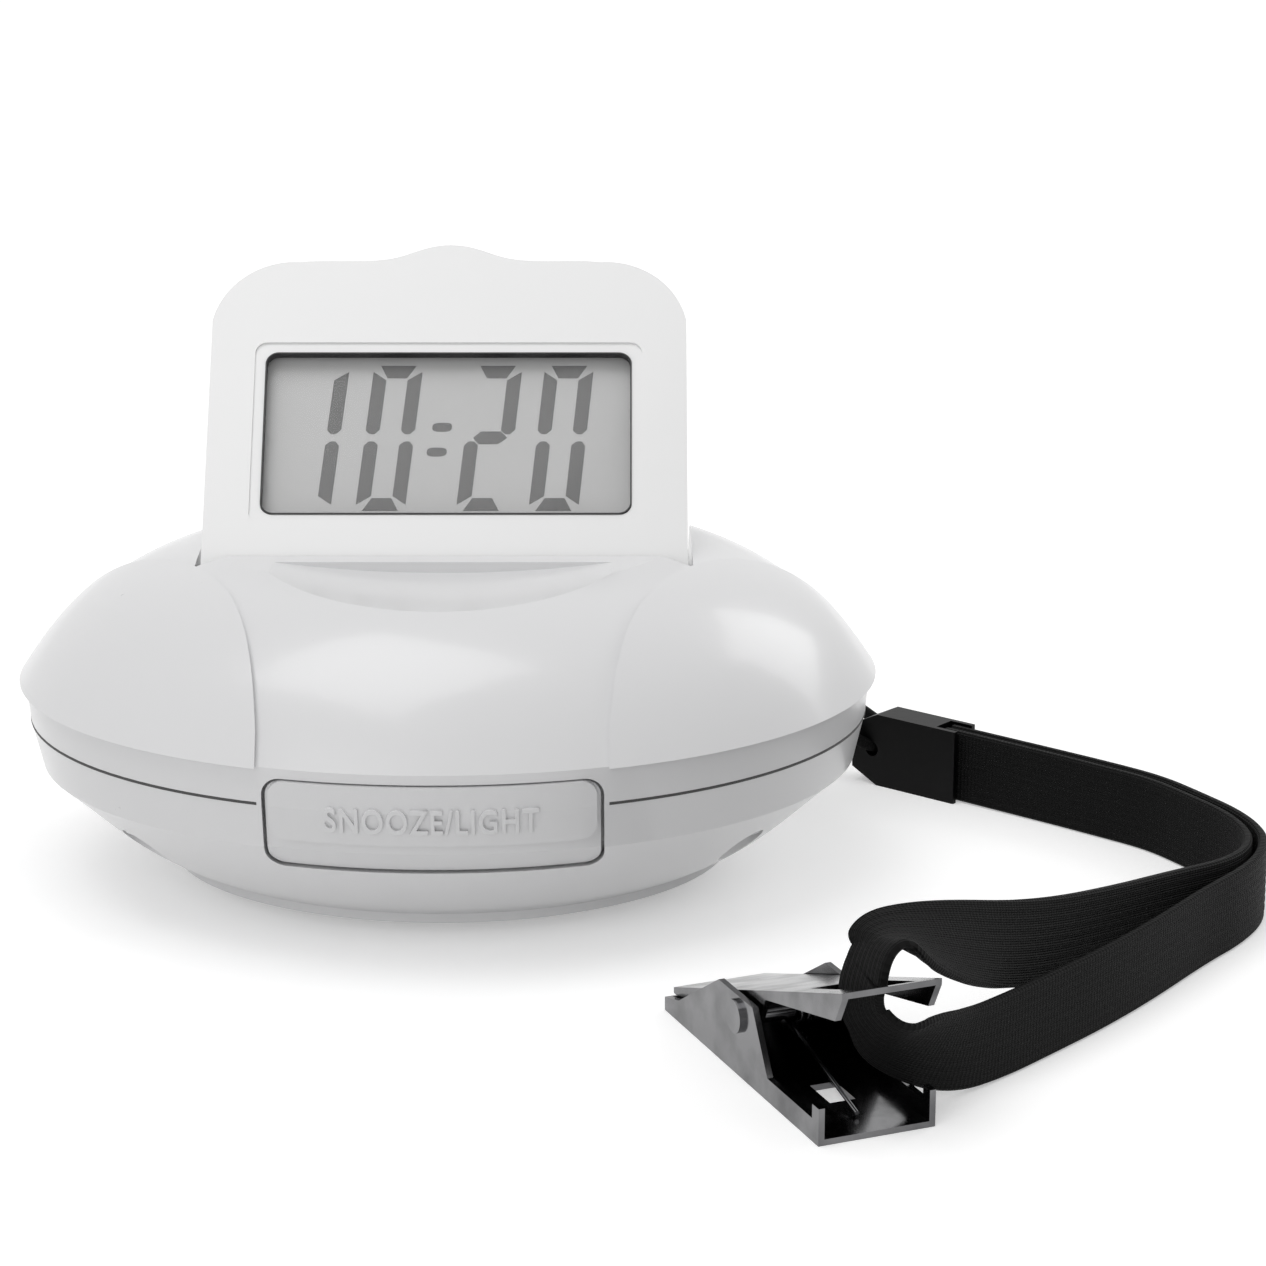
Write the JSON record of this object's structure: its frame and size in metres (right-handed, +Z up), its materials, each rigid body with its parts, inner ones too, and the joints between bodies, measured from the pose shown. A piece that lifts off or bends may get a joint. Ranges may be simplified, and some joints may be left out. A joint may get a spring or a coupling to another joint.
{
  "type": "bed shaker alarm clock",
  "caption": "Oval travel alarm clock with a fold-away LCD display, a front snooze bar, a vibration motor inside and a webbing strap with a metal clip.",
  "frame": {"origin": "middle of the clock body's outline at its lowest point, without the strap, cord and clip", "axes": "+Z up, -Y towards the front with the snooze bar, X along the display"},
  "size_m": [0.154, 0.133, 0.0759],
  "materials": {
    "body_shell": "glossy moulded light grey-white",
    "display_casing": "glossy moulded white",
    "clear_lens": "clear flat window",
    "lcd": "grey reflective liquid-crystal cell",
    "snooze_plastic": "glossy moulded grey-white",
    "dark_plastic": "matt moulded",
    "button_grey": "matt moulded",
    "black_webbing": "woven lengthwise",
    "black_cord": "braided",
    "cap_plastic": "matt moulded",
    "nickel": "nickel plated",
    "steel": "plain",
    "motor_case": "drawn can",
    "weight_metal": "sintered",
    "board_green": "solder mask",
    "rubber_strip": "conductive strip",
    "cell_wrap": "printed sleeve, bare of words",
    "ribbon": "flexible film",
    "diffuser": "light panel"
  },
  "bodies": {
    "base": {"top_shell": "body_shell", "bottom_shell": "body_shell", "hinge_pins": "steel", "display_ribbon": "ribbon", "snooze_board": "board_green", "snooze_switch": "dark_plastic", "snooze_board_screws": "steel", "main_board": "board_green", "board_chips": "dark_plastic", "set_switches": "dark_plastic", "board_screws": "steel", "mode_switch": "dark_plastic", "buzzer": "dark_plastic", "vibration_motor": "motor_case", "motor_clamp": "steel", "clamp_screws": "steel", "battery_cells": "cell_wrap", "battery_plates": "nickel", "battery_springs": "nickel", "shell_screws": "steel", "lanyard_pin": "steel", "lanyard_cord": "black_cord", "strap_end_cap": "cap_plastic", "strap_back_layer": "black_webbing", "strap_front_layer": "black_webbing", "clip_lower_jaw": "nickel", "clip_rivet": "nickel", "clip_spring": "nickel"},
    "display": {"display_front": "display_casing", "display_back": "display_casing", "display_lens": "clear_lens", "lcd_panel": "lcd", "backlight_panel": "diffuser", "display_board": "board_green", "contact_strips": "rubber_strip", "display_screws": "steel"},
    "snooze": {"snooze_button": "snooze_plastic"},
    "time_key": {"time_button": "button_grey"},
    "alarm_key": {"alarm_button": "button_grey"},
    "hour_key": {"hour_button": "button_grey"},
    "minute_key": {"minute_button": "button_grey"},
    "mode_slide": {"mode_knob": "button_grey"},
    "door": {"battery_door": "body_shell"},
    "rotor": {"motor_shaft": "steel", "eccentric_weight": "weight_metal"},
    "clip_lever": {"clip_upper_jaw": "nickel"}
  },
  "joints": [
    {"name": "display_fold", "type": "hinge", "parent": "base", "child": "display", "pos_m": [0, -0.0061, 0.03708], "axis": [-1, 0, 0], "range_deg": [0, 59]},
    {"name": "snooze_press", "type": "slide", "parent": "base", "child": "snooze", "axis": [0, 1, 0], "range_m": [0, 0.0004], "stiffness_N_per_m": 2000, "springref_m": -0.0005},
    {"name": "time_press", "type": "slide", "parent": "base", "child": "time_key", "axis": [0, -0.1219, -0.9925], "range_m": [0, 0.0004], "stiffness_N_per_m": 1500, "springref_m": -0.0004},
    {"name": "alarm_press", "type": "slide", "parent": "base", "child": "alarm_key", "axis": [0, -0.1219, -0.9925], "range_m": [0, 0.0004], "stiffness_N_per_m": 1500, "springref_m": -0.0004},
    {"name": "hour_press", "type": "slide", "parent": "base", "child": "hour_key", "axis": [0, -0.1219, -0.9925], "range_m": [0, 0.0004], "stiffness_N_per_m": 1500, "springref_m": -0.0004},
    {"name": "minute_press", "type": "slide", "parent": "base", "child": "minute_key", "axis": [0, -0.1219, -0.9925], "range_m": [0, 0.0004], "stiffness_N_per_m": 1500, "springref_m": -0.0004},
    {"name": "mode_slide_travel", "type": "slide", "parent": "base", "child": "mode_slide", "axis": [1, 0, 0], "range_m": [0, 0.004]},
    {"name": "battery_door_hinge", "type": "hinge", "parent": "base", "child": "door", "pos_m": [0.02525, 0, 0.00105], "axis": [0, -1, 0], "range_deg": [0, 75]},
    {"name": "weight_spin", "type": "hinge", "parent": "base", "child": "rotor", "pos_m": [0.036, 0, 0.018], "axis": [0, 1, 0], "continuous": true},
    {"name": "clip_squeeze", "type": "hinge", "parent": "base", "child": "clip_lever", "pos_m": [0.04055, -0.06548, 0.0068], "axis": [0.9239, 0.3827, 0], "range_deg": [0, 18], "stiffness_Nm_per_rad": 0.3, "springref_deg": -11.46, "deforming": ["clip_spring", "strap_back_layer", "strap_front_layer"]}
  ]
}
